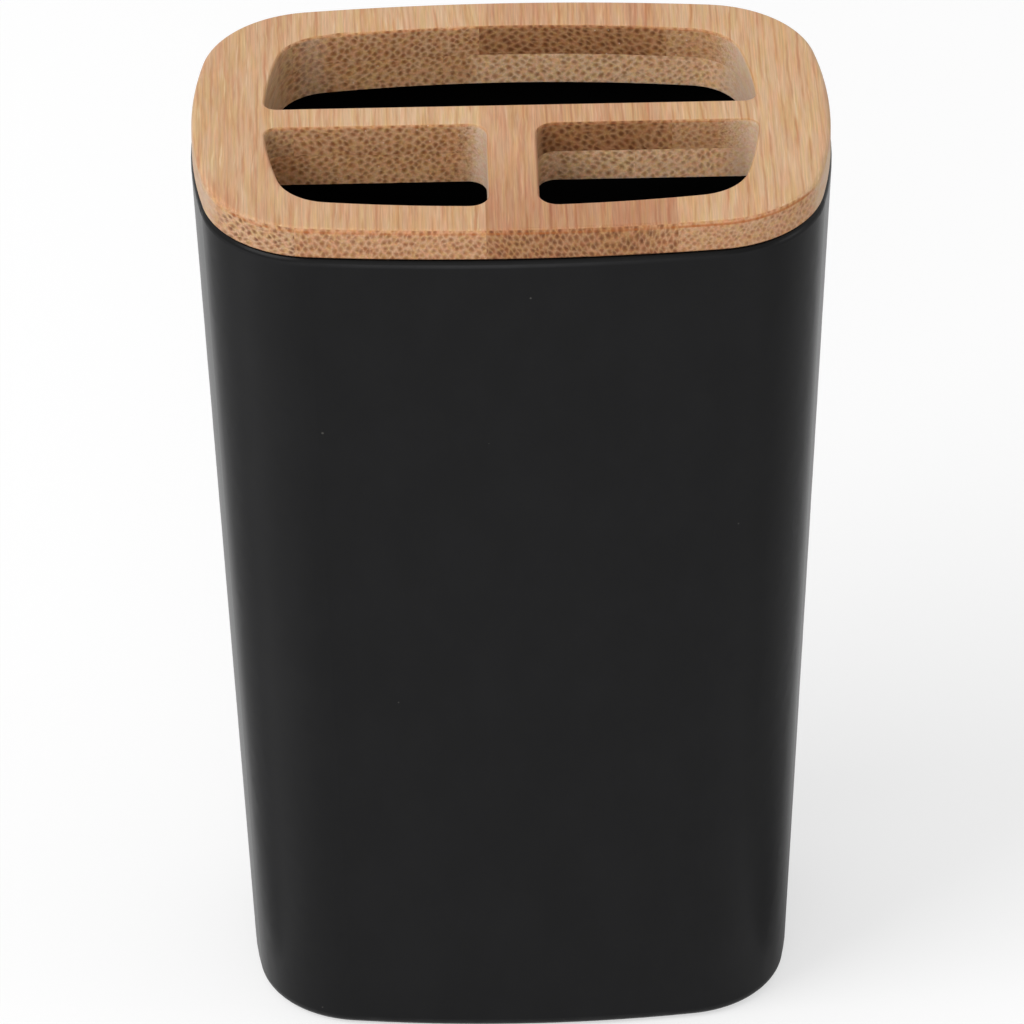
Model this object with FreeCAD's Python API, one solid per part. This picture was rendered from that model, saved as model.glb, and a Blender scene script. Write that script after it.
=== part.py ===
# Toothbrush holder: a tapered moulded cup under a lift-off slotted lid of glued bamboo strips.
# Millimetres. +Z is up, the front faces -Y, and the origin is the middle of the base.
import FreeCAD, Part
import math
import os
from FreeCAD import Vector

# Plan of the cup at its rim, which is the widest part of the holder
holder_width = 76.4
holder_depth = 51.8
front_bow = 3.0
side_bow = 5.2
corner_radius = 14.2

# Plan of the cup at its base
base_width = 66.0
base_depth = 42.0
base_front_bow = 3.5
base_side_bow = 4.5
base_corner_radius = 13.0

# Cup
cup_height = 116.0
wall_thickness = 2.2
floor_thickness = 2.0
inner_floor_radius = 3.0
rim_outer_radius = 1.0
rim_inner_radius = 0.4
base_edge_radius = 1.5
foot_ring_width = 3.0
foot_recess_depth = 1.0

# Lid: an upper ply that rests on the rim, set back a little from the cup's outside, and a lower ply
# that drops into the cup
lid_setback = 0.2
upper_ply_thickness = 4.0
lower_ply_thickness = 4.0
lower_ply_clearance = 0.5
lid_top_edge_radius = 0.8
lid_rest_edge_radius = 0.3
lid_foot_edge_radius = 0.5

# Slots through both plies
side_rail_width = 8.6
front_rail_width = 5.8
slot_front_bow = 2.7
slot_side_bow = 3.7
slot_corner_radius = 6.7
cross_bar_width = 4.4
cross_bar_offset = 0.05
divider_width = 6.0
divider_corner_radius = 2.3
bar_end_radius = 1.5
slot_mouth_radius = 0.4

# Glue joints between the bamboo strips: a joint beside the divider, the others as shares of the
# slots' half width, and the lower ply's first one as a share of the side rail
divider_joint_gap = 0.4
upper_left_joint_share = 0.88
upper_right_joint_share = 0.65
lower_rail_joint_share = 0.1
lower_left_joint_share = 0.265
lower_right_joint_share = 0.5

# How far each cutting tool runs past what it cuts, and how close two places count as one
overrun = 5.0
touch = 0.001


class Plan:
    """A rounded oblong of eight tangent arcs: two long, two short and four corners."""

    def __init__(self, half_width, half_depth, long_radius, short_radius, corner):
        self.half_width = half_width
        self.half_depth = half_depth
        self.long_radius = long_radius
        self.short_radius = short_radius
        self.corner = corner

    @classmethod
    def from_bows(cls, width, depth, long_bow, short_bow, corner):
        """A plan whose arcs rise by the given bows over its whole width and depth."""
        long_radius = arc_radius(width / 2, long_bow)
        short_radius = arc_radius(depth / 2, short_bow)
        return cls(width / 2, depth / 2, long_radius, short_radius, corner)

    def inset(self, distance):
        """The same plan drawn in by one distance all round."""
        return Plan(
            self.half_width - distance,
            self.half_depth - distance,
            self.long_radius - distance,
            self.short_radius - distance,
            self.corner - distance,
        )

    def quarter_points(self):
        """Tangent point, corner middle and tangent point of the corner at +X +Y."""
        long_centre = Vector(0, self.half_depth - self.long_radius, 0)
        short_centre = Vector(self.half_width - self.short_radius, 0, 0)
        long_reach = self.long_radius - self.corner
        short_reach = self.short_radius - self.corner
        between = short_centre - long_centre
        span = between.Length
        along = (long_reach ** 2 - short_reach ** 2 + span ** 2) / (2 * span)
        across = math.sqrt(long_reach ** 2 - along ** 2)
        forward = between / span
        sideways = Vector(forward.y, -forward.x, 0)
        corner_centre = long_centre + forward * along + sideways * across
        to_long = (corner_centre - long_centre).normalize()
        to_short = (corner_centre - short_centre).normalize()
        to_middle = (to_long + to_short).normalize()
        return [corner_centre + way * self.corner for way in (to_long, to_middle, to_short)]

    def wire(self, height):
        """The closed outline at one height, from the back middle round by +X."""
        start, middle, end = self.quarter_points()
        points = [
            Vector(0, self.half_depth, 0), start, middle, end,
            Vector(self.half_width, 0, 0), flip(end, 1, -1), flip(middle, 1, -1), flip(start, 1, -1),
            Vector(0, -self.half_depth, 0), flip(start, -1, -1), flip(middle, -1, -1), flip(end, -1, -1),
            Vector(-self.half_width, 0, 0), flip(end, -1, 1), flip(middle, -1, 1), flip(start, -1, 1),
        ]
        lifted = [Vector(point.x, point.y, height) for point in points]
        arcs = []
        for first in range(1, len(lifted), 2):
            ends = [lifted[(first + step) % len(lifted)] for step in range(3)]
            arcs.append(Part.Arc(*ends).toShape())
        return Part.Wire(arcs)

    def prism(self, bottom, top):
        """A straight-sided solid of this plan between two heights."""
        return Part.Face(self.wire(bottom)).extrude(Vector(0, 0, top - bottom))


def arc_radius(half_chord, rise):
    """Radius of an arc that rises by one bow over twice the half chord."""
    return (half_chord ** 2 + rise ** 2) / (2 * rise)


def flip(point, x_sign, y_sign):
    """A point mirrored across the middle planes."""
    return Vector(point.x * x_sign, point.y * y_sign, point.z)


def tapered_solid(bottom_plan, bottom, top_plan, top):
    """A solid with straight drafted walls from one plan up to another."""
    return Part.makeLoft([bottom_plan.wire(bottom), top_plan.wire(top)], True, True)


def level_edges(shape, height):
    """The edges that lie flat at one height."""
    boxes = [(edge, edge.BoundBox) for edge in shape.Edges]
    return [edge for edge, box in boxes if max(abs(box.ZMin - height), abs(box.ZMax - height)) < touch]


def upright_edges(shape):
    """The edges that run the whole height of a straight-sided shape."""
    return [edge for edge in shape.Edges if edge.BoundBox.ZLength > shape.BoundBox.ZLength - touch]


def is_on_plan(edge, plan):
    """Whether an edge's middle lies on a plan's outline at its own height."""
    middle = edge.valueAt((edge.FirstParameter + edge.LastParameter) / 2)
    return plan.wire(middle.z).distToShape(Part.Vertex(middle))[0] < touch


rim_plan = Plan.from_bows(holder_width, holder_depth, front_bow, side_bow, corner_radius)
base_plan = Plan.from_bows(base_width, base_depth, base_front_bow, base_side_bow, base_corner_radius)
lid_plan = rim_plan.inset(lid_setback)
slot_plan = Plan.from_bows(
    2 * (lid_plan.half_width - side_rail_width),
    2 * (lid_plan.half_depth - front_rail_width),
    slot_front_bow,
    slot_side_bow,
    slot_corner_radius,
)
lower_ply_plan = rim_plan.inset(wall_thickness + lower_ply_clearance)
cavity_bottom = foot_recess_depth + floor_thickness
lid_foot = cup_height - lower_ply_thickness
lid_top = cup_height + upper_ply_thickness
bar_front = cross_bar_offset - cross_bar_width / 2
bar_rear = cross_bar_offset + cross_bar_width / 2
upper_joints = (
    -slot_plan.half_width * upper_left_joint_share,
    -divider_width / 2 - divider_joint_gap,
    slot_plan.half_width * upper_right_joint_share,
)
lower_joints = (
    -slot_plan.half_width - side_rail_width * lower_rail_joint_share,
    -slot_plan.half_width * lower_left_joint_share,
    slot_plan.half_width * lower_right_joint_share,
)


def make_cavity():
    """The space inside the cup, drafted like its outside and rounded at the floor."""
    space = tapered_solid(base_plan.inset(wall_thickness), 0, rim_plan.inset(wall_thickness), cup_height)
    corner = Vector(-holder_width / 2, -holder_depth / 2, cavity_bottom)
    above_floor = Part.makeBox(holder_width, holder_depth, cup_height, corner)
    space = space.common(above_floor)
    return space.makeFillet(inner_floor_radius, level_edges(space, cavity_bottom))


def make_cup():
    """The drafted shell with its floor, rounded rim and hollow underside."""
    shell = tapered_solid(base_plan, 0, rim_plan, cup_height)
    shell = shell.makeFillet(base_edge_radius, level_edges(shell, 0))
    shell = shell.cut(make_cavity())
    inner = [edge for edge in level_edges(shell, cup_height) if not is_on_plan(edge, rim_plan)]
    shell = shell.makeFillet(rim_inner_radius, inner)
    outer = [edge for edge in level_edges(shell, cup_height) if is_on_plan(edge, rim_plan)]
    shell = shell.makeFillet(rim_outer_radius, outer)
    recess_plan = base_plan.inset(base_edge_radius + foot_ring_width)
    return shell.cut(recess_plan.prism(-overrun, foot_recess_depth))


def make_slot_field(x_low, x_high, y_low, y_high):
    """The part of the slotted field inside a rectangle, through both plies."""
    field = slot_plan.prism(lid_foot - overrun, lid_top + overrun)
    box = field.BoundBox
    block = Part.makeBox(x_high - x_low, y_high - y_low, box.ZLength, Vector(x_low, y_low, box.ZMin))
    return field.common(block)


def make_rear_slot():
    """The long slot behind the cross bar, with small corners at the bar."""
    slot = make_slot_field(-holder_width / 2, holder_width / 2, bar_rear, holder_depth / 2)
    ends = [edge for edge in upright_edges(slot) if abs(edge.BoundBox.Center.y - bar_rear) < touch]
    return slot.makeFillet(bar_end_radius, ends)


def make_front_slot(side):
    """The short slot on one side of the divider, with its larger corners by the divider."""
    low, high = sorted((side * divider_width / 2, side * holder_width / 2))
    slot = make_slot_field(low, high, -holder_depth / 2, bar_front)
    on_bar = [edge for edge in upright_edges(slot) if abs(edge.BoundBox.Center.y - bar_front) < touch]
    outer_end = max(on_bar, key=lambda edge: abs(edge.BoundBox.Center.x))
    slot = slot.makeFillet(bar_end_radius, [outer_end])
    face = side * divider_width / 2
    by_divider = [edge for edge in upright_edges(slot) if abs(edge.BoundBox.Center.x - face) < touch]
    return slot.makeFillet(divider_corner_radius, by_divider)


def cut_slots(ply):
    """A ply with the three slots cut through it."""
    for slot in (make_rear_slot(), make_front_slot(-1), make_front_slot(1)):
        ply = ply.cut(slot)
    return ply


def make_upper_ply():
    """The ply that shows on top and rests on the cup's rim."""
    ply = lid_plan.prism(cup_height, lid_top)
    ply = ply.makeFillet(lid_top_edge_radius, level_edges(ply, lid_top))
    ply = ply.makeFillet(lid_rest_edge_radius, level_edges(ply, cup_height))
    ply = cut_slots(ply)
    flat_plan = lid_plan.inset(lid_top_edge_radius)
    mouths = [edge for edge in level_edges(ply, lid_top) if not is_on_plan(edge, flat_plan)]
    return ply.makeFillet(slot_mouth_radius, mouths)


def make_lower_ply():
    """The ply that drops into the cup and keeps the lid in place."""
    ply = lower_ply_plan.prism(lid_foot, cup_height)
    ply = ply.makeFillet(lid_foot_edge_radius, level_edges(ply, lid_foot))
    return cut_slots(ply)


def split_into_strips(ply, joints):
    """The ply's strips from left to right, parted at its glue joints."""
    box = ply.BoundBox
    sides = [box.XMin - overrun, *joints, box.XMax + overrun]
    strips = []
    for left, right in zip(sides, sides[1:]):
        corner = Vector(left, box.YMin - overrun, box.ZMin - overrun)
        slab = Part.makeBox(right - left, box.YLength + 2 * overrun, box.ZLength + 2 * overrun, corner)
        strips.append(ply.common(slab))
    return strips


def make_nodes():
    """Every sub-part of the holder under the name of its node."""
    nodes = {"cup": make_cup()}
    for number, strip in enumerate(split_into_strips(make_upper_ply(), upper_joints), 1):
        nodes[f"lid_upper_strip_{number}"] = strip
    for number, strip in enumerate(split_into_strips(make_lower_ply(), lower_joints), 1):
        nodes[f"lid_lower_strip_{number}"] = strip
    return nodes


os.makedirs("parts", exist_ok=True)
for name, shape in make_nodes().items():
    shape.exportStep(f"parts/{name}.step")
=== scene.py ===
"""Finishes, studio and camera for a toothbrush holder: a matte black cup under a slotted bamboo lid."""
import logging
import math
from dataclasses import dataclass, field
from enum import Enum

import bmesh
import bpy
from mathutils import Matrix, Vector


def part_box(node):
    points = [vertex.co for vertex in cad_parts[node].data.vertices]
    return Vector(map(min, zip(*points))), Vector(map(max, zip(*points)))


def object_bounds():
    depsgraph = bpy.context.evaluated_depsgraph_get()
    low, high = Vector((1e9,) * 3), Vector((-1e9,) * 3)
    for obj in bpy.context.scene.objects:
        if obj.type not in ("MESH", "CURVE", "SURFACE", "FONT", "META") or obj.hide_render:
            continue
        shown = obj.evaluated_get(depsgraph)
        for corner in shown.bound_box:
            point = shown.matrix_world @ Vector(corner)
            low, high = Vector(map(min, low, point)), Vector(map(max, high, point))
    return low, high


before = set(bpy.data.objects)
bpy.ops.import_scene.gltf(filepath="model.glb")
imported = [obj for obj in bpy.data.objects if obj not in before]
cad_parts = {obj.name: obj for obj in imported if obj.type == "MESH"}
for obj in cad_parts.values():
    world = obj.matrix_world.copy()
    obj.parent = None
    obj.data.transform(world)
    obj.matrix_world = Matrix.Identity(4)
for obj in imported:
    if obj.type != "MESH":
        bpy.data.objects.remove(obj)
CAD_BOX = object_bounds()
LOG = logging.getLogger("toothbrush_holder")

# Shader patterns are laid out in millimetres; the model is in metres.
MM_PER_M = 1000.0
MM = 1.0 / MM_PER_M

# The curve from a screen's colour levels to light: straight near black, then a power.
FULL_LEVEL = 255.0
CURVE_KNEE = 0.04045
CURVE_SLOPE = 12.92
CURVE_OFFSET = 0.055
CURVE_POWER = 2.4

WHITE = (1.0, 1.0, 1.0, 1.0)
BLACK = (0.0, 0.0, 0.0, 1.0)

Rgb = tuple[int, int, int]
Tint = tuple[float, float, float]
Span = tuple[float, float]
Socket = bpy.types.NodeSocket
Value = Socket | float


def linear(colour: Rgb) -> tuple[float, float, float, float]:
    """Turns a colour as seen on a screen into the shader's linear values.

    Args:
        colour: Red, green and blue from 0 to 255.

    Returns:
        Linear red, green, blue and an alpha of 1.
    """
    channels = []
    for level in colour:
        share = level / FULL_LEVEL
        if share <= CURVE_KNEE:
            channels.append(share / CURVE_SLOPE)
        else:
            channels.append(((share + CURVE_OFFSET) / (1.0 + CURVE_OFFSET)) ** CURVE_POWER)
    return (*channels, 1.0)


# How far a face looks up, from 0 for a wall to 1 for the top, where a step comes in.
WALL: Span = (0.95, 0.75)
CLEAR_WALL: Span = (0.75, 0.4)
OFF_FLAT: Span = (0.985, 0.85)
OFF_WALL: Span = (0.1, 0.4)
SEED_STEP_MM = (31.7, 13.1, 0.0)


@dataclass(frozen=True)
class Pattern:
    """A noise, and the levels of it between which its patches come in.

    per_mm says how often it repeats in a millimetre along each axis. A small middle number draws it
    out along Y, the way the fibres run.
    """

    per_mm: tuple[float, float, float]
    detail: float = 2.0
    roughness: float = 0.5
    shown: Span = (0.0, 1.0)


LOOSE_FIBRES = Pattern((3.6, 3.6, 3.6), 3.0, 0.65)
FINE_FIBRES = Pattern((5.5, 0.14, 5.5), 3.0, 0.6)
BENT_ROWS = Pattern((0.06, 0.02, 0.12), 1.0)
RAGGED_BUNDLES = Pattern((2.8, 0.1, 2.8), 2.0, 0.6)
SWAYING_FIBRES = Pattern((0.03, 0.045, 0.03), 1.0)
WOBBLING_FIBRES = Pattern((0.5, 0.3, 0.5))
BLUSH = Pattern((0.36, 0.02, 0.36), shown=(0.4, 0.64))
STREAKS = Pattern((1.15, 0.07, 1.15), 3.0, 0.65, shown=(0.48, 0.68))
DARK_LINES = Pattern((0.8, 0.09, 0.8), shown=(0.36, 0.56))
PALE_LINES = Pattern((2.9, 0.11, 2.9), 1.0, shown=(0.6, 0.78))
STAINS = Pattern((0.3, 0.05, 0.5), 3.0, shown=(0.34, 0.66))
COLOUR_DRIFT = Pattern((1.4, 0.12, 1.4), 3.0, 0.6, shown=(0.44, 0.62))
GLUE_PATCHES = Pattern((0.7, 0.3, 0.1), shown=(0.4, 0.6))
SCORCH_PATCHES = Pattern((0.7, 0.3, 0.1), shown=(0.3, 0.6))
FRINGE_TICKS = Pattern((2.4, 2.4, 0.4), shown=(0.46, 0.56))
PLASTIC_CLOUDS = Pattern((0.12, 0.12, 0.08), 5.0, 0.65, shown=(0.35, 0.7))


class ShaderGraph:
    """Adds nodes to one shader tree and links them."""

    def __init__(self, tree: bpy.types.NodeTree) -> None:
        """Starts from an empty tree."""
        self.tree = tree
        self.tree.nodes.clear()

    def add(self, kind: str, **settings: object) -> bpy.types.Node:
        """Adds one node.

        Args:
            kind: The node's type name.
            settings: Properties to set on the node.

        Returns:
            The new node.
        """
        node = self.tree.nodes.new(kind)
        for name, value in settings.items():
            setattr(node, name, value)
        return node

    def feed(self, target: Socket, value: Value | Vector | tuple) -> None:
        """Links a socket, or writes a constant, into another socket.

        Args:
            target: The socket that takes the value.
            value: The socket to link, or the constant.
        """
        if isinstance(value, bpy.types.NodeSocket):
            self.tree.links.new(value, target)
        else:
            target.default_value = value

    def math(self, operation: str, first: Value, second: Value = 0.0, clamp: bool = False) -> Socket:
        """Adds a sum of one or two numbers.

        Args:
            operation: The Math node's operation.
            first: The first number.
            second: The second number, where the operation has one.
            clamp: Whether the result is kept from 0 to 1.

        Returns:
            The result.
        """
        node = self.add("ShaderNodeMath", operation=operation, use_clamp=clamp)
        self.feed(node.inputs[0], first)
        self.feed(node.inputs[1], second)
        return node.outputs[0]

    def scale_shift(self, value: Value, scale: float, shift: float) -> Socket:
        """Multiplies a number and adds to it.

        Args:
            value: The number.
            scale: What it is multiplied by.
            shift: What is added then.

        Returns:
            The result.
        """
        node = self.add("ShaderNodeMath", operation="MULTIPLY_ADD")
        self.feed(node.inputs[0], value)
        self.feed(node.inputs[1], scale)
        self.feed(node.inputs[2], shift)
        return node.outputs[0]

    def ease(self, value: Value, start: float, end: float) -> Socket:
        """Rises smoothly from 0 to 1 between two values, or falls if the first is the larger.

        Args:
            value: The number that the rise follows.
            start: Where the result is 0.
            end: Where the result is 1.

        Returns:
            The result.
        """
        node = self.add("ShaderNodeMapRange", interpolation_type="SMOOTHSTEP")
        low, high = (start, end) if start < end else (end, start)
        levels = (0.0, 1.0) if start < end else (1.0, 0.0)
        self.feed(node.inputs["Value"], value)
        self.feed(node.inputs["From Min"], low)
        self.feed(node.inputs["From Max"], high)
        self.feed(node.inputs["To Min"], levels[0])
        self.feed(node.inputs["To Max"], levels[1])
        return node.outputs["Result"]

    def mix(self, share: Value, first: Socket | tuple, second: Socket | tuple, blend: str = "MIX") -> Socket:
        """Mixes two colours.

        Args:
            share: How much of the second colour there is.
            first: The colour at 0.
            second: The colour at 1.
            blend: The Mix node's blend type.

        Returns:
            The mixed colour.
        """
        node = self.add("ShaderNodeMix", data_type="RGBA", blend_type=blend)
        self.feed(node.inputs[0], share)
        self.feed(node.inputs[6], first)
        self.feed(node.inputs[7], second)
        return node.outputs[2]

    def combine(self, x: Value, y: Value, z: Value) -> Socket:
        """Makes a vector of three numbers.

        Args:
            x: The first number.
            y: The second number.
            z: The third number.

        Returns:
            The vector.
        """
        node = self.add("ShaderNodeCombineXYZ")
        for target, value in zip(node.inputs, (x, y, z)):
            self.feed(target, value)
        return node.outputs[0]

    def split(self, vector: Socket) -> tuple[Socket, Socket, Socket]:
        """Takes a vector apart.

        Args:
            vector: The vector.

        Returns:
            Its three numbers.
        """
        node = self.add("ShaderNodeSeparateXYZ")
        self.feed(node.inputs[0], vector)
        return tuple(node.outputs)

    def millimetres(self) -> Socket:
        """The place on the piece in millimetres."""
        coordinates = self.add("ShaderNodeTexCoord")
        return self.stretched(coordinates.outputs["Object"], (MM_PER_M, MM_PER_M, MM_PER_M))

    def stretched(self, vector: Socket, scale: tuple[float, float, float]) -> Socket:
        """Stretches a place along each axis.

        Args:
            vector: The place.
            scale: What each of its three coordinates is multiplied by.

        Returns:
            The stretched place.
        """
        node = self.add("ShaderNodeVectorMath", operation="MULTIPLY")
        self.feed(node.inputs[0], vector)
        self.feed(node.inputs[1], scale)
        return node.outputs[0]

    def shifted(self, vector: Socket, by: Socket | tuple[float, float, float]) -> Socket:
        """Moves a place.

        Args:
            vector: The place.
            by: The vector that is added.

        Returns:
            The moved place.
        """
        node = self.add("ShaderNodeVectorMath", operation="ADD")
        self.feed(node.inputs[0], vector)
        self.feed(node.inputs[1], by)
        return node.outputs[0]

    def noise(self, place: Socket, pattern: Pattern, output: str = "Fac") -> Socket:
        """Adds a noise.

        Args:
            place: The place in millimetres.
            pattern: How fine and how rough the noise is.
            output: The output that is wanted: Fac for one number, or Color for three.

        Returns:
            The noise.
        """
        node = self.add("ShaderNodeTexNoise", noise_dimensions="3D")
        self.feed(node.inputs["Vector"], self.stretched(place, pattern.per_mm))
        self.feed(node.inputs["Scale"], 1.0)
        self.feed(node.inputs["Detail"], pattern.detail)
        self.feed(node.inputs["Roughness"], pattern.roughness)
        return node.outputs[output]

    def patches(self, place: Socket, pattern: Pattern) -> Socket:
        """The share of a pattern's patches at a place in millimetres."""
        return self.ease(self.noise(place, pattern), *pattern.shown)

    def cells(
        self,
        vector: Socket,
        feature: str,
        randomness: float,
        dimensions: str = "2D",
    ) -> bpy.types.Node:
        """Adds a cell pattern of unit scale at a place that is already scaled.

        Args:
            vector: The place.
            feature: What the pattern measures.
            randomness: How far the cells stray from a grid.
            dimensions: Whether the cells fill a plane or the space.

        Returns:
            The pattern node.
        """
        node = self.add("ShaderNodeTexVoronoi", voronoi_dimensions=dimensions, feature=feature)
        self.feed(node.inputs["Vector"], vector)
        self.feed(node.inputs["Scale"], 1.0)
        self.feed(node.inputs["Randomness"], randomness)
        return node

    def lines(self, value: Socket, randomness: float) -> bpy.types.Node:
        """Adds a row of parallel lines of unit spacing across a number that is already scaled.

        Args:
            value: The number.
            randomness: How far the lines stray from even spacing.

        Returns:
            The pattern node.
        """
        node = self.add("ShaderNodeTexVoronoi", voronoi_dimensions="1D", feature="F1")
        self.feed(node.inputs["W"], value)
        self.feed(node.inputs["Scale"], 1.0)
        self.feed(node.inputs["Randomness"], randomness)
        return node

    def length(self, first: Socket, second: Socket) -> Socket:
        """The length of a step whose two parts stand square to each other."""
        squares = self.math("ADD", self.product(first, first), self.product(second, second))
        return self.math("SQRT", squares)

    def bump(self, shader: bpy.types.Node, height: Socket, strength: float, depth_mm: float) -> None:
        """Gives a shader a fine relief.

        Args:
            shader: The Principled shader.
            height: The height of the relief, from 0 to 1.
            strength: How strongly it shows.
            depth_mm: How deep it is.
        """
        node = self.add("ShaderNodeBump")
        self.feed(node.inputs["Height"], height)
        self.feed(node.inputs["Strength"], strength)
        self.feed(node.inputs["Distance"], depth_mm * MM)
        self.feed(shader.inputs["Normal"], node.outputs["Normal"])

    def tinted(self, share: Value, colour: Socket, tint: Tint) -> Socket:
        """A colour multiplied by a tint, as far as the share says."""
        return self.mix(share, colour, (*tint, 1.0), blend="MULTIPLY")

    def product(self, first: Value, *others: Value) -> Socket:
        """Multiplies numbers together.

        Args:
            first: The first number.
            others: The other numbers.

        Returns:
            The product.
        """
        result = first
        for other in others:
            result = self.math("MULTIPLY", result, other)
        return result


def new_material(name: str) -> tuple[bpy.types.Material, ShaderGraph, bpy.types.Node]:
    """Makes a material with a Principled shader wired to its output.

    Args:
        name: The material's name.

    Returns:
        The material, its graph and the shader node.
    """
    material = bpy.data.materials.new(name)
    material.use_nodes = True
    graph = ShaderGraph(material.node_tree)
    shader = graph.add("ShaderNodeBsdfPrincipled")
    output = graph.add("ShaderNodeOutputMaterial")
    graph.feed(output.inputs["Surface"], shader.outputs["BSDF"])
    return material, graph, shader


def placed(name: str, data: bpy.types.ID) -> bpy.types.Object:
    """Makes a lamp, a camera or the floor an object of the scene.

    Args:
        name: The object's name.
        data: What it shows.

    Returns:
        The object.
    """
    thing = bpy.data.objects.new(name, data)
    bpy.context.scene.collection.objects.link(thing)
    return thing


def dress(node_name: str, material: bpy.types.Material) -> bpy.types.Object:
    """Gives one of the model's own pieces a finish.

    Args:
        node_name: The piece's name.
        material: The finish for its whole surface.

    Returns:
        The piece.
    """
    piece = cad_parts[node_name]
    piece.data.materials.clear()
    piece.data.materials.append(material)
    return piece


class Ply(Enum):
    """The two glued layers of the lid."""

    UPPER = "upper"
    LOWER = "lower"


@dataclass(frozen=True)
class LongGrain:
    """Colours and lines of the faces that run along the fibres."""

    ground: Rgb
    streak: Rgb
    blush: Rgb
    line: Rgb
    line_spacing_mm: float = 0.95
    line_width_mm: float = 0.26
    line_strength: float = 0.6
    streak_strength: float = 0.75
    blush_strength: float = 0.6
    pale_line: Rgb = (232, 204, 170)
    pale_strength: float = 0.68
    wander_mm: float = 0.8
    wobble_mm: float = 0.3
    lean: float = 0.0
    # Painted shade: how far the faces along the fibres darken towards the front.
    front_shade: float = 0.3


@dataclass(frozen=True)
class EndGrain:
    """Colours and layout of the faces that cut the fibres across and show the bundles as dots."""

    ground: Rgb
    bundle: Rgb
    net: Rgb
    stain: Rgb
    column_mm: float = 0.83
    row_mm: float = 0.79
    wall_column_mm: float = 1.54
    wall_row_mm: float = 0.49
    radius_mm: float = 0.46
    tallness: float = 1.12
    scatter: float = 0.68
    bend_mm: tuple[float, float, float] = (4.0, 0.0, 2.4)
    ragged_mm: float = 0.12
    strength: float = 0.8
    net_width: float = 0.36
    net_strength: float = 0.45
    outside_share: float = 0.85
    from_turn: float = 0.48
    turn_reach: float = 0.14


@dataclass(frozen=True)
class Fade:
    """A tint of the end grain that grows towards one of the strip's joints."""

    from_mm: float
    to_mm: float
    tint: Tint


@dataclass(frozen=True)
class SlotWalls:
    """Where the slots' walls are, and where their end grain turns smooth and pale, partly worn and partly a
    painted sheen.

    Places and reaches are in millimetres. Turns say how far a wall faces the right, up to 1.
    """

    half_width: float = 31.0
    half_depth: float = 21.0
    squareness: float = 6.0
    border: Span = (1.5, 1.1)
    loose_mm: float = 5.0
    left_end_turn: Span = (0.1, 0.4)
    left_end_frays: float = 0.34
    left_flat_turn: Span = (0.6, 0.95)
    left_flat_smooth: float = 0.6
    rubbed_smooth: float = 0.75
    front_half: Span = (-1.0, -2.6)
    left_half: Span = (0.0, -2.0)
    worn_and_sheen_by_divider: Span = (-6.8, -3.4)
    worn_and_sheen_at_right: Span = (24.2, 28.2)
    left_bend: float = -23.6
    bend_reach: Span = (2.4, 0.4)
    behind_bar: Span = (1.0, 4.0)
    bend_share: float = 0.35
    side_turn: Span = (0.8, 0.97)
    side_chalk_and_sheen_share: float = 0.6


@dataclass(frozen=True)
class Surface:
    """What each step of a strip's finish reads.

    It holds the graph, the place in millimetres, the place moved by the strip's seed, the pattern of
    loose fibre ends and the fine pattern of fibres.
    """

    graph: ShaderGraph
    here: Socket
    place: Socket
    fuzz: Socket
    fibre: Socket


@dataclass(frozen=True)
class FaceShares:
    """How far a place belongs to each kind of face, from 0 to 1."""

    end: Socket
    chalk_and_sheen: Socket
    inside: Socket
    upward: Socket


@dataclass(frozen=True)
class Section:
    """The fibre bundles as a cut across them shows them."""

    radius: Socket
    border: Socket
    tone: Socket


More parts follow.
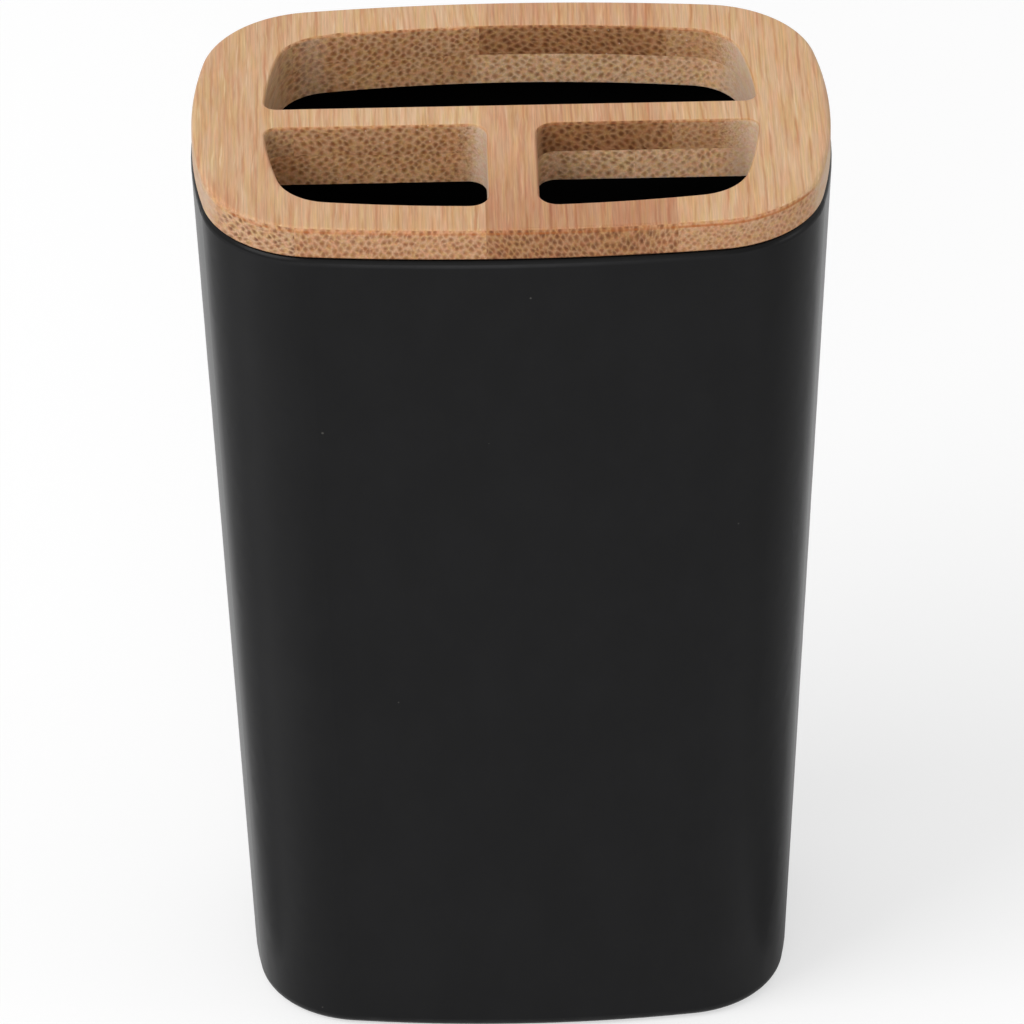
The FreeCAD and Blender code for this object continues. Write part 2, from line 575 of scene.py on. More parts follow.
@dataclass(frozen=True)
class BambooStrip:
    """Oiled bamboo with its fibres along Y: streaks along them, dots where they are cut across."""

    name: str
    seed: float
    ply: Ply
    long_grain: LongGrain
    end_grain: EndGrain
    walls: SlotWalls = SlotWalls()
    fade: Fade | None = None
    # Chalky colour: partly the pale, rubbed grain, partly a painted sheen where light falls on it.
    chalk_and_sheen: Rgb = (220, 196, 175)
    chalk_and_sheen_share: float = 0.8
    scorch: Rgb = (172, 92, 30)
    scorch_share: float = 0.75
    scorch_evenness: float = 0.15
    scorch_mm: float = 0.64
    slot_scorch_mm: float = 0.38
    fringe: Rgb = (188, 176, 172)
    fringe_share: float = 0.6
    glue: Rgb = (120, 84, 56)
    glue_share: float = 0.12
    speck: Rgb = (232, 214, 194)
    rosy_tint: Tint = (1.0, 0.86, 0.84)
    honey_tint: Tint = (0.985, 1.0, 0.8)
    # Partly the oiled arris's browner colour, partly painted shade that dims the highlight on its rounded
    # edge.
    arris_oil_and_shade_tint: Tint = (0.92, 0.84, 0.76)
    # Painted shade: the tints that darken the slots' walls, more in the right-hand front slot.
    slot_shade_tint: Tint = (0.92, 0.93, 0.87)
    right_slot_shade_tint: Tint = (0.92, 0.91, 0.9)
    # Painted shade: the tint and the span in Y over which the top darkens towards the front.
    front_shade_tint: Tint = (0.88, 0.76, 0.7)
    front_shade_mm: Span = (-3.0, -22.0)
    gloss: float = 0.3
    sheen: float = 0.1
    sheen_roughness: float = 0.4
    relief_strength: float = 0.5
    relief_mm: float = 0.06

    def material(self, low_mm: float, high_mm: float) -> bpy.types.Material:
        """Builds the finish for one strip.

        Args:
            low_mm: Height of the strip's lower face.
            high_mm: Height of its upper face.

        Returns:
            The material.
        """
        free, glued = (high_mm, low_mm) if self.ply is Ply.UPPER else (low_mm, high_mm)
        material, graph, shader = new_material(self.name)
        here = graph.millimetres()
        place = graph.shifted(here, tuple(self.seed * step for step in SEED_STEP_MM))
        height = graph.split(here)[2]
        fuzz = graph.noise(place, LOOSE_FIBRES)
        fibre = graph.noise(place, FINE_FIBRES)
        surface = Surface(graph, here, place, fuzz, fibre)
        faces = self.faces(surface)
        crowding = graph.ease(height, free, glued)
        across, dot = self.across_fibres(surface, crowding, faces.inside)
        colour = graph.mix(faces.end, self.along_fibres(surface), across)
        # Chalky patches: partly worn, paler grain, partly a painted sheen.
        worn_and_sheen = graph.product(faces.chalk_and_sheen, graph.scale_shift(fuzz, 0.4, self.chalk_and_sheen_share - 0.2))
        colour = graph.mix(worn_and_sheen, colour, linear(self.chalk_and_sheen))
        smoothed = graph.math("MULTIPLY", faces.chalk_and_sheen, 0.45)
        colour = self.varied(surface, colour, graph.math("MAXIMUM", faces.end, smoothed))
        colour = self.edges(surface, colour, faces, (free, glued), dot)
        graph.feed(shader.inputs["Base Color"], colour)
        self.relief(surface, shader, dot, faces.end)
        graph.feed(shader.inputs["Roughness"], graph.scale_shift(fibre, 0.16, 0.5))
        shader.inputs["Specular IOR Level"].default_value = self.gloss
        shader.inputs["Sheen Weight"].default_value = self.sheen
        shader.inputs["Sheen Roughness"].default_value = self.sheen_roughness
        return material

    def faces(self, surface: Surface) -> FaceShares:
        """Tells the faces of the strip apart by the way they look, with frayed borders.

        Args:
            surface: The strip's surface.

        Returns:
            The shares of each kind of face.
        """
        graph = surface.graph
        fuzz = surface.fuzz
        coordinates = graph.add("ShaderNodeTexCoord")
        towards_right, towards_back, towards_top = graph.split(coordinates.outputs["Normal"])
        sideways = graph.math("ABSOLUTE", towards_right)
        lengthways = graph.math("ABSOLUTE", towards_back)
        upward = graph.math("ABSOLUTE", towards_top)
        walls = self.walls
        x, y, _ = graph.split(surface.here)
        from_middle = graph.math("DIVIDE", graph.math("ABSOLUTE", x), walls.half_width)
        across = graph.math("POWER", from_middle, walls.squareness)
        from_middle = graph.math("DIVIDE", graph.math("ABSOLUTE", y), walls.half_depth)
        deep = graph.math("POWER", from_middle, walls.squareness)
        inside = graph.ease(graph.math("ADD", across, deep), *walls.border)
        left_end = graph.product(inside, graph.ease(towards_right, *walls.left_end_turn))
        frayed = graph.math("ADD", lengthways, graph.scale_shift(fuzz, 0.2, -0.1))
        frayed = graph.math("ADD", frayed, graph.math("MULTIPLY", left_end, walls.left_end_frays))
        # The slots' right-hand ends and the divider: worn end grain with a painted sheen.
        loose = graph.math("ADD", x, graph.scale_shift(fuzz, walls.loose_mm, -walls.loose_mm / 2))
        by_divider = graph.product(graph.ease(y, *walls.front_half), graph.ease(x, *walls.left_half))
        by_divider = graph.product(by_divider, graph.ease(loose, *walls.worn_and_sheen_by_divider))
        at_right = graph.ease(loose, *walls.worn_and_sheen_at_right)
        wear_and_sheen = graph.product(inside, graph.math("MAXIMUM", at_right, by_divider))
        start = self.end_grain.from_turn
        end = graph.ease(frayed, start, start + self.end_grain.turn_reach)
        end = graph.product(end, graph.scale_shift(wear_and_sheen, -walls.rubbed_smooth, 1.0))
        left_flat = graph.product(inside, graph.ease(towards_right, *walls.left_flat_turn))
        end = graph.product(end, graph.scale_shift(left_flat, -walls.left_flat_smooth, 1.0))
        off_bend = graph.math("ABSOLUTE", graph.scale_shift(x, 1.0, -walls.left_bend))
        bend = graph.product(inside, graph.ease(off_bend, *walls.bend_reach))
        bend = graph.product(bend, graph.ease(y, *walls.behind_bar), walls.bend_share)
        outside = graph.math("SUBTRACT", 1.0, inside)
        # The outer sides: paler side grain with a painted sheen.
        plain = graph.product(graph.ease(sideways, *walls.side_turn), outside, walls.side_chalk_and_sheen_share)
        chalk_and_sheen = graph.math("MAXIMUM", graph.math("MAXIMUM", plain, bend), wear_and_sheen)
        chalk_and_sheen = graph.product(chalk_and_sheen, graph.ease(upward, *CLEAR_WALL))
        return FaceShares(end, chalk_and_sheen, inside, upward)

    def bundles(self, surface: Surface, inside: Socket) -> Section:
        """Lays the fibre bundles in staggered rows that run along Y.

        Args:
            surface: The strip's surface.
            inside: The share of the slots' walls, which have a layout of their own.

        Returns:
            The distance to the nearest bundle in millimetres, the distance to the border between
            bundles as a share of their spacing, and the bundle's own random tone.
        """
        graph = surface.graph
        grain = self.end_grain
        bend = graph.noise(surface.place, BENT_ROWS, "Color")
        rag = graph.noise(surface.place, RAGGED_BUNDLES, "Color")
        moved = graph.shifted(surface.place, graph.stretched(bend, grain.bend_mm))
        reach = 2.0 * grain.ragged_mm
        moved = graph.shifted(moved, graph.stretched(rag, (reach, 0.0, reach)))
        x, _, z = graph.split(moved)
        width = graph.scale_shift(inside, grain.wall_column_mm - grain.column_mm, grain.column_mm)
        rise = graph.scale_shift(inside, grain.wall_row_mm - grain.row_mm, grain.row_mm)
        column = graph.math("DIVIDE", x, width)
        row = graph.math("DIVIDE", z, graph.math("ADD", rise, rise))
        section = graph.combine(graph.math("ADD", column, row), graph.math("SUBTRACT", column, row), 0.0)
        near = graph.cells(section, "F1", grain.scatter)
        border = graph.cells(section, "DISTANCE_TO_EDGE", grain.scatter).outputs["Distance"]
        tone = graph.split(near.outputs["Color"])[0]
        offset = graph.add("ShaderNodeVectorMath", operation="SUBTRACT")
        graph.feed(offset.inputs[0], section)
        graph.feed(offset.inputs[1], near.outputs["Position"])
        first, second, _ = graph.split(offset.outputs[0])
        aside = graph.product(graph.math("ADD", first, second), width, 0.5)
        above = graph.product(graph.math("SUBTRACT", first, second), rise, 1.0 / grain.tallness)
        return Section(graph.length(aside, above), border, tone)

    def along_fibres(self, surface: Surface) -> Socket:
        """Colours the faces that run along the fibres.

        Args:
            surface: The strip's surface.

        Returns:
            The colour.
        """
        graph = surface.graph
        grain = self.long_grain
        x, y, z = graph.split(surface.place)
        sway = graph.noise(surface.place, SWAYING_FIBRES)
        wobble = graph.noise(surface.place, WOBBLING_FIBRES)
        x = graph.math("ADD", x, graph.scale_shift(sway, 2.0 * grain.wander_mm, 0.0))
        x = graph.math("ADD", x, graph.scale_shift(wobble, grain.wobble_mm, 0.0))
        x = graph.math("ADD", x, graph.scale_shift(y, grain.lean, 0.0))
        led = graph.combine(x, y, z)
        share = graph.product(graph.patches(led, BLUSH), grain.blush_strength)
        colour = graph.mix(share, linear(grain.ground), linear(grain.blush))
        share = graph.product(graph.patches(led, STREAKS), grain.streak_strength)
        colour = graph.mix(share, colour, linear(grain.streak))
        row = graph.lines(graph.math("DIVIDE", x, grain.line_spacing_mm), 0.8)
        away = graph.math("MULTIPLY", row.outputs["Distance"], grain.line_spacing_mm)
        tone = graph.split(row.outputs["Color"])[0]
        line = graph.product(graph.ease(away, grain.line_width_mm, 0.0), graph.patches(led, DARK_LINES))
        line = graph.product(line, graph.scale_shift(tone, 0.7, 0.4), grain.line_strength)
        colour = graph.mix(line, colour, linear(grain.line))
        share = graph.product(graph.patches(led, PALE_LINES), grain.pale_strength)
        colour = graph.mix(share, colour, linear(grain.pale_line))
        # Painted shade: the faces along the fibres darken towards the front.
        to_front = graph.ease(graph.split(surface.here)[1], *self.front_shade_mm)
        colour = graph.tinted(graph.product(to_front, grain.front_shade), colour, self.front_shade_tint)
        return graph.mix(1.0, colour, graph.scale_shift(surface.fibre, 0.7, 0.65), blend="MULTIPLY")

    def across_fibres(self, surface: Surface, crowding: Socket, inside: Socket) -> tuple[Socket, Socket]:
        """Colours the faces that cut the fibres across.

        Args:
            surface: The strip's surface.
            crowding: How dense and brown the cane is, which rises towards the glued side.
            inside: The share of the slots' walls, where the bundles show more clearly.

        Returns:
            The colour, and the mask of the bundles.
        """
        graph = surface.graph
        grain = self.end_grain
        section = self.bundles(surface, inside)
        stain = graph.patches(surface.place, STAINS)
        stain = graph.product(stain, graph.scale_shift(crowding, 0.55, 0.35))
        ground = graph.mix(stain, linear(grain.ground), linear(grain.stain))
        clear = graph.scale_shift(inside, 1.0 - grain.outside_share, grain.outside_share)
        net = graph.product(graph.ease(section.border, grain.net_width, 0.0), grain.net_strength, clear)
        colour = graph.mix(net, ground, linear(grain.net))
        size = graph.scale_shift(section.tone, 0.25, 0.82)
        size = graph.math("ADD", size, graph.math("MULTIPLY", crowding, 0.1))
        dot = graph.ease(graph.math("DIVIDE", section.radius, size), grain.radius_mm, 0.02)
        depth = graph.product(dot, graph.scale_shift(section.tone, 0.6, 0.5), grain.strength, clear)
        colour = graph.mix(depth, colour, linear(grain.bundle))
        if self.fade:
            share = graph.ease(graph.split(surface.here)[0], self.fade.from_mm, self.fade.to_mm)
            colour = graph.tinted(share, colour, self.fade.tint)
        return colour, dot

    def varied(self, surface: Surface, colour: Socket, cut: Socket) -> Socket:
        """Lets the colour drift between rosy and honey, and mottles the faces that were cut.

        Args:
            surface: The strip's surface.
            colour: The colour so far.
            cut: The share of faces cut across the fibres, and of chalky faces that are worn and carry a
                painted sheen.

        Returns:
            The colour.
        """
        graph = surface.graph
        first, second, _ = graph.split(graph.noise(surface.place, COLOUR_DRIFT, "Color"))
        depth = graph.scale_shift(cut, 0.25, 0.75)
        rosy = graph.product(graph.ease(first, *COLOUR_DRIFT.shown), depth)
        colour = graph.tinted(rosy, colour, self.rosy_tint)
        honey = graph.product(graph.ease(second, *COLOUR_DRIFT.shown), depth)
        colour = graph.tinted(honey, colour, self.honey_tint)
        mottle = graph.mix(cut, WHITE, graph.scale_shift(surface.fuzz, 0.9, 0.55))
        return graph.mix(1.0, colour, mottle, blend="MULTIPLY")

    def edges(
        self,
        surface: Surface,
        colour: Socket,
        faces: FaceShares,
        ends: Span,
        dot: Socket,
    ) -> Socket:
        """Adds the glue line, what the strip's free edges show and the specks of dust.

        Args:
            surface: The strip's surface.
            colour: The colour so far.
            faces: The shares of each kind of face.
            ends: The heights of the strip's free face and of its glued face.
            dot: The mask of the bundles.

        Returns:
            The colour.
        """
        graph = surface.graph
        place = surface.place
        free, glued = ends
        height = graph.split(place)[2]
        shown = graph.math("MAXIMUM", faces.end, faces.chalk_and_sheen)
        off_glue = graph.math("ABSOLUTE", graph.math("SUBTRACT", height, glued))
        seam = graph.product(graph.ease(off_glue, 0.16, 0.04), graph.patches(place, GLUE_PATCHES))
        colour = graph.mix(graph.product(seam, shown, self.glue_share), colour, linear(self.glue))
        off_free = graph.math("ABSOLUTE", graph.math("SUBTRACT", height, free))
        if self.ply is Ply.UPPER:
            colour = self.slot_shade(surface, colour, faces)
            colour = self.scorched(surface, colour, faces, off_free, dot)
        else:
            colour = self.fringed(surface, colour, faces, off_free)
        dust = graph.cells(graph.stretched(place, (0.9, 0.9, 0.9)), "F1", 1.0, dimensions="3D")
        few = graph.ease(graph.split(dust.outputs["Color"])[1], 0.55, 0.65)
        spot = graph.product(graph.ease(dust.outputs["Distance"], 0.12, 0.05), few, shown, faces.inside, 0.6)
        return graph.mix(spot, colour, linear(self.speck))

    def slot_shade(self, surface: Surface, colour: Socket, faces: FaceShares) -> Socket:
        """Browns the arris with oil and painted shade, and paints shade on the slots' walls, most in the
        front right slot.

        Args:
            surface: The strip's surface.
            colour: The colour so far.
            faces: The shares of each kind of face.

        Returns:
            The colour.
        """
        graph = surface.graph
        # The arris: its own oiled brown, with painted shade that dims its highlight.
        rounded = graph.product(graph.ease(faces.upward, *OFF_FLAT), graph.ease(faces.upward, *OFF_WALL))
        rounded = graph.product(rounded, graph.math("MAXIMUM", faces.end, faces.inside))
        colour = graph.tinted(rounded, colour, self.arris_oil_and_shade_tint)
        # Painted shade on the slots' walls, darker again in the right-hand front slot.
        upright = graph.ease(faces.upward, *WALL)
        shaded_wall = graph.product(faces.inside, upright, graph.math("SUBTRACT", 1.0, faces.chalk_and_sheen))
        colour = graph.tinted(shaded_wall, colour, self.slot_shade_tint)
        x, y, _ = graph.split(surface.here)
        front_right_shade = graph.product(shaded_wall, graph.ease(y, 2.0, -1.0), graph.ease(x, -2.0, 2.0))
        return graph.tinted(front_right_shade, colour, self.right_slot_shade_tint)

    def scorched(
        self,
        surface: Surface,
        colour: Socket,
        faces: FaceShares,
        off_free: Socket,
        dot: Socket,
    ) -> Socket:
        """Scorches a thin broken band of the end grain just below the top.

        Args:
            surface: The strip's surface.
            colour: The colour so far.
            faces: The shares of each kind of face.
            off_free: The distance in height from the strip's free face.
            dot: The mask of the bundles, which scorch the most.

        Returns:
            The colour.
        """
        graph = surface.graph
        reach = graph.scale_shift(faces.inside, self.slot_scorch_mm - self.scorch_mm, self.scorch_mm)
        depth = graph.math("DIVIDE", off_free, reach)
        band = graph.product(graph.ease(depth, 1.0, 0.75), graph.ease(depth, 0.4, 0.65), faces.end)
        broken = graph.patches(surface.place, SCORCH_PATCHES)
        broken = graph.product(broken, graph.scale_shift(dot, 0.75, 0.25))
        burn = graph.scale_shift(broken, 1.0 - self.scorch_evenness, self.scorch_evenness)
        burn = graph.product(burn, band, graph.scale_shift(faces.inside, -0.4, 1.0), self.scorch_share)
        return graph.mix(burn, colour, linear(self.scorch))

    def fringed(self, surface: Surface, colour: Socket, faces: FaceShares, off_free: Socket) -> Socket:
        """Adds a pale fringe of torn fibres along the slots' lower edges, most of it on the right.

        Args:
            surface: The strip's surface.
            colour: The colour so far.
            faces: The shares of each kind of face.
            off_free: The distance in height from the strip's free face.

        Returns:
            The colour.
        """
        graph = surface.graph
        ragged = graph.math("ADD", off_free, graph.scale_shift(surface.fuzz, -1.0, 0.5))
        to_right = graph.scale_shift(graph.ease(graph.split(surface.here)[0], -16.0, 18.0), 0.7, 0.3)
        ticks = graph.patches(surface.place, FRINGE_TICKS)
        upright = graph.ease(faces.upward, *WALL)
        hair = graph.product(graph.ease(ragged, 0.22, 0.08), ticks, upright)
        hair = graph.product(hair, to_right, self.fringe_share)
        return graph.mix(hair, colour, linear(self.fringe))

    def relief(self, surface: Surface, shader: bpy.types.Node, dot: Socket, end_share: Socket) -> None:
        """Sinks the cut bundles a little and raises the fibres.

        Args:
            surface: The strip's surface.
            shader: The Principled shader.
            dot: The mask of the bundles.
            end_share: The share of end grain.
        """
        graph = surface.graph
        pits = graph.math("MULTIPLY", graph.math("SUBTRACT", surface.fuzz, dot), end_share)
        height = graph.math("ADD", graph.math("MULTIPLY", surface.fibre, 0.4), pits)
        graph.bump(shader, height, self.relief_strength, self.relief_mm)


@dataclass(frozen=True)
class MattePlasticFinish:
    """Charcoal black moulded plastic with the fine even texture of a spark-eroded mould."""

    name: str
    colour: Rgb
    dust: Rgb
    # The colour of the painted highlight on the rim's rounded edge.
    wear_and_sheen: Rgb
    grain_mm: float = 0.16
    grain_depth_mm: float = 0.02
    grain_strength: float = 0.35
    gloss: float = 0.125
    offset_mm: tuple[float, float, float] = (3.1, 7.7, 1.9)
    cloud_share: float = 1.2
    # The painted highlight on the rim: its share, its band below the rim, and its fade to each side.
    rim_highlight_share: float = 0.9
    highlight_below_rim_mm: Span = (1.25, 0.85)
    highlight_from_right_mm: Span = (25.0, -8.0)
    highlight_from_left_mm: Span = (-30.0, -6.0)
    # Painted shade on the rim just under the lid.
    shade_below_rim_mm: Span = (0.75, 0.55)
    dust_share: float = 0.45
    dust_spacing_mm: float = 5.0
    dust_size: float = 0.03
    # How dark the painted shade under the lid and inside the cup is, as a share of the colour.
    painted_shade_share: float = 0.3

    def material(self, rim_mm: float) -> bpy.types.Material:
        """Builds the finish.

        Args:
            rim_mm: Height of the rim, whose rounded edge gets a lighter painted highlight.

        Returns:
            The material.
        """
        material, graph, shader = new_material(self.name)
        here = graph.millimetres()
        place = graph.shifted(here, self.offset_mm)
        grain = graph.noise(place, Pattern((1.0 / self.grain_mm,) * 3))
        cloud = graph.noise(place, PLASTIC_CLOUDS)
        clouded = graph.ease(cloud, *PLASTIC_CLOUDS.shown)
        colour = graph.mix(clouded, linear(self.colour), self.toned(self.cloud_share))
        colour = self.rim_highlight_and_shade(graph, here, colour, cloud, rim_mm)
        # Painted shade: the cup's inner walls are darker.
        facing = graph.add("ShaderNodeVectorMath", operation="DOT_PRODUCT")
        graph.feed(facing.inputs[0], graph.add("ShaderNodeTexCoord").outputs["Normal"])
        graph.feed(facing.inputs[1], graph.stretched(here, (1.0, 1.0, 0.0)))
        inner_shade = graph.ease(facing.outputs["Value"], -2.0, -6.0)
        colour = self.dusted(graph, place, graph.mix(inner_shade, colour, self.toned(self.painted_shade_share)))
        graph.feed(shader.inputs["Base Color"], colour)
        graph.feed(shader.inputs["Roughness"], graph.scale_shift(grain, 0.1, 0.26))
        shader.inputs["Specular IOR Level"].default_value = self.gloss
        graph.bump(shader, grain, self.grain_strength, self.grain_depth_mm)
        return material

    def toned(self, share: float) -> tuple[float, float, float, float]:
        """The plastic's own colour, made lighter or darker by a share."""
        return (*(channel * share for channel in linear(self.colour)[:3]), 1.0)

    def rim_highlight_and_shade(
        self,
        graph: ShaderGraph,
        here: Socket,
        colour: Socket,
        cloud: Socket,
        rim_mm: float,
    ) -> Socket:
        """Paints a highlight on the rim's rounded edge, most in the middle, and paints shade on it under the
        lid.

        Args:
            graph: The material's graph.
            here: The place in millimetres.
            colour: The colour so far.
            cloud: The uneven pattern of the plastic.
            rim_mm: Height of the rim.

        Returns:
            The colour.
        """
        x, _, height = graph.split(here)
        below_rim = graph.math("SUBTRACT", rim_mm, height)
        # Painted highlight: a lighter band on the rim's rounded edge, most in the middle.
        rim_highlight = graph.ease(below_rim, *self.highlight_below_rim_mm)
        rim_highlight = graph.product(rim_highlight, graph.scale_shift(cloud, 0.8, 0.3))
        from_right = graph.ease(x, *self.highlight_from_right_mm)
        rim_highlight = graph.product(rim_highlight, graph.scale_shift(from_right, 0.9, 0.1))
        from_left = graph.ease(x, *self.highlight_from_left_mm)
        rim_highlight = graph.product(rim_highlight, graph.scale_shift(from_left, 0.85, 0.15))
        colour = graph.mix(graph.math("MULTIPLY", rim_highlight, self.rim_highlight_share), colour, linear(self.wear_and_sheen))
        # Painted shade on the rim under the lid.
        under_lid_shade = graph.ease(below_rim, *self.shade_below_rim_mm)
        return graph.mix(under_lid_shade, colour, self.toned(self.painted_shade_share))

    def dusted(self, graph: ShaderGraph, place: Socket, colour: Socket) -> Socket:
        """Scatters a few faint specks of dust.

        Args:
            graph: The material's graph.
            place: The moved place in millimetres.
            colour: The colour so far.

        Returns:
            The colour.
        """
        spread = graph.stretched(place, (1.0 / self.dust_spacing_mm,) * 3)
        speck = graph.cells(spread, "F1", 1.0, dimensions="3D")
        size = graph.math("MULTIPLY", graph.split(speck.outputs["Color"])[0], self.dust_size)
        dusty = graph.math("LESS_THAN", speck.outputs["Distance"], size)
        return graph.mix(graph.math("MULTIPLY", dusty, self.dust_share), colour, linear(self.dust))


@dataclass
class Cup:
    """The moulded cup."""

    node: str = "cup"
    body: str = "cup"
    # Its last colour is the painted highlight on the rim's rounded edge.
    finish: MattePlasticFinish = MattePlasticFinish(
        "charcoal_plastic", colour=(24, 24, 25), dust=(110, 108, 104), wear_and_sheen=(56, 56, 57)
    )

    def build(self) -> list[bpy.types.Object]:
        """Dresses the shell.

        Returns:
            The pieces of the cup.
        """
        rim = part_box(self.node)[1].z
        return [dress(self.node, self.finish.material(rim * MM_PER_M))]


def upper_strips() -> tuple[BambooStrip, ...]:
    """Describes the upper ply's four strips, each with its own grain.

    Returns:
        The strips' finishes, from left to right.
    """
    return (
        BambooStrip(
            "upper_bamboo_1",
            1.0,
            Ply.UPPER,
            LongGrain(
                ground=(215, 176, 138),
                streak=(197, 144, 102),
                blush=(208, 164, 125),
                line=(184, 122, 80),
                front_shade=0.2,
            ),
            EndGrain(
                ground=(204, 160, 122),
                bundle=(112, 64, 38),
                net=(224, 188, 156),
                stain=(192, 144, 104),
                column_mm=1.43,
                row_mm=0.36,
                wall_column_mm=1.43,
                wall_row_mm=0.4,
                radius_mm=0.37,
                scatter=0.75,
                ragged_mm=0.15,
                strength=0.66,
                outside_share=1.2,
            ),
        ),
        BambooStrip(
            "upper_bamboo_2",
            2.0,
            Ply.UPPER,
            LongGrain(
                ground=(220, 183, 145),
                streak=(202, 152, 109),
                blush=(214, 172, 131),
                line=(188, 128, 84),
                front_shade=0.4,
            ),
            EndGrain(ground=(208, 159, 119), bundle=(134, 80, 44), net=(232, 190, 158), stain=(196, 143, 99)),
        ),
        BambooStrip(
            "upper_bamboo_3",
            3.0,
            Ply.UPPER,
            LongGrain(
                ground=(214, 171, 133),
                streak=(194, 140, 101),
                blush=(204, 154, 116),
                line=(180, 115, 75),
                pale_line=(226, 191, 156),
                front_shade=1.0,
            ),
            EndGrain(
                ground=(176, 124, 84),
                bundle=(104, 58, 28),
                net=(208, 165, 127),
                stain=(155, 100, 62),
                row_mm=0.75,
                radius_mm=0.44,
                outside_share=0.98,
            ),
            fade=Fade(from_mm=14.0, to_mm=19.4, tint=(1.22, 1.28, 1.36)),
            front_shade_tint=(0.82, 0.72, 0.67),
        ),
        BambooStrip(
            "upper_bamboo_4",
            4.0,
            Ply.UPPER,
            LongGrain(
                ground=(219, 181, 143),
                streak=(204, 157, 112),
                blush=(214, 170, 128),
                line=(184, 120, 72),
                line_spacing_mm=1.15,
                line_width_mm=0.27,
                line_strength=0.72,
                streak_strength=0.45,
                lean=0.02,
                wander_mm=1.0,
                front_shade=0.15,
            ),
            EndGrain(
                ground=(212, 165, 127),
                bundle=(150, 98, 60),
                net=(224, 183, 150),
                stain=(200, 150, 108),
                column_mm=0.8,
                row_mm=0.7,
                wall_column_mm=1.46,
                wall_row_mm=0.45,
                radius_mm=0.38,
                strength=0.66,
                net_strength=0.38,
                outside_share=0.92,
                from_turn=0.38,
            ),
            scorch_share=0.8,
            scorch_evenness=0.7,
        ),
    )


def lower_strips() -> tuple[BambooStrip, ...]:
    """Describes the lower ply's four strips, which show only in the slots.

    Returns:
        The strips' finishes, from left to right.
    """
    plain = LongGrain(
        ground=(212, 176, 136),
        streak=(192, 146, 106),
        blush=(206, 164, 124),
        line=(182, 132, 92),
    )
    brown = EndGrain(ground=(212, 165, 119), bundle=(134, 86, 48), net=(232, 192, 156), stain=(194, 142, 93))
    pale = EndGrain(
        ground=(236, 194, 153),
        bundle=(150, 102, 62),
        net=(248, 218, 186),
        stain=(224, 178, 132),
        wall_column_mm=1.58,
        wall_row_mm=0.53,
        strength=0.74,
    )
    fine = EndGrain(
        ground=(238, 196, 156),
        bundle=(160, 112, 76),
        net=(248, 216, 184),
        stain=(226, 180, 136),
        wall_row_mm=0.5,
        radius_mm=0.42,
        strength=0.66,
    )
    browned = Fade(from_mm=-3.2, to_mm=-5.2, tint=(0.8, 0.7, 0.6))
    return (
        BambooStrip("lower_bamboo_1", 5.0, Ply.LOWER, plain, brown),
        BambooStrip("lower_bamboo_2", 6.0, Ply.LOWER, plain, brown),
        BambooStrip("lower_bamboo_3", 7.0, Ply.LOWER, plain, pale, fade=browned),
        BambooStrip("lower_bamboo_4", 8.0, Ply.LOWER, plain, fine),
    )


@dataclass
class BambooLid:
    """The slotted lid: an upper and a lower ply, each of strips numbered from left to right."""

    body: str = "lid"
    upper: tuple[BambooStrip, ...] = field(default_factory=upper_strips)
    lower: tuple[BambooStrip, ...] = field(default_factory=lower_strips)

    def build(self) -> list[bpy.types.Object]:
        """Dresses every strip of both plies.

        Returns:
            The pieces of the lid.
        """
        pieces = []
        for finishes in (self.upper, self.lower):
            for number, finish in enumerate(finishes, 1):
                node = f"lid_{finish.ply.value}_strip_{number}"
                low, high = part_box(node)
                pieces.append(dress(node, finish.material(low.z * MM_PER_M, high.z * MM_PER_M)))
        return pieces


@dataclass
class Lamp:
    """One square soft lamp that points at the holder."""

    name: str
    azimuth: float
    elevation: float
    distance: float
    size: float
    power: float

    def build(self, target: Vector) -> bpy.types.Object:
        """Makes the lamp.

        Args:
            target: The point that it shines at.

        Returns:
            The lamp.
        """
        data = bpy.data.lights.new(self.name, "AREA")
        data.shape = "SQUARE"
        data.size = self.size
        data.energy = self.power
        lamp = placed(self.name, data)
        lamp.visible_camera = False
        turn = math.radians(self.azimuth)
        rise = math.radians(self.elevation)
        away = Vector((math.sin(turn) * math.cos(rise), -math.cos(turn) * math.cos(rise), math.sin(rise)))
        lamp.location = target + away * self.distance
        lamp.rotation_euler = (-away).to_track_quat("-Z", "Y").to_euler()
        return lamp


@dataclass(frozen=True)
class FloorCard:
    """A dark card on the floor beside the holder, seen only in the reflections of its walls.

    Turns are in radians round the holder's side, from 0 straight back to pi straight ahead. The card
    darkens the reflection between two turns, and stays a little darker in front.
    """

    dark_from: float
    dark_to: float
    depth: float
    light_from: float
    light_to: float
    lift: float
    front_dip: float
    # Painted shadow near the holder's foot, seen in reflections: how dark it is and how far it reaches.
    foot_shadow_depth: float
    foot_shadow_reach: float
    front_turns: Span = (2.5, 2.9)

    def share(self, graph: ShaderGraph, turn: Socket, away: Socket, behind: Socket) -> Socket:
        """How bright the floor looks in a reflection.

        Args:
            graph: The floor's graph.
            turn: The turn of the place round the holder's side.
            away: Its distance from the middle of that side in metres.
            behind: How far it lies behind that middle, from 0 to 1.

        Returns:
            The share of the floor's full brightness.
        """
        share = graph.scale_shift(graph.ease(turn, self.dark_from, self.dark_to), -self.depth, 1.0)
        lifted = graph.product(graph.ease(turn, self.light_from, self.light_to), self.lift)
        share = graph.math("ADD", share, lifted)
        dip = graph.product(graph.ease(turn, *self.front_turns), self.front_dip)
        share = graph.math("SUBTRACT", share, dip)
        # Painted shadow: the reflection darkens close behind the holder's foot.
        foot_shadow = graph.product(graph.ease(away, self.foot_shadow_reach, 0.0), behind, self.foot_shadow_depth)
        return graph.product(share, graph.math("SUBTRACT", 1.0, foot_shadow))


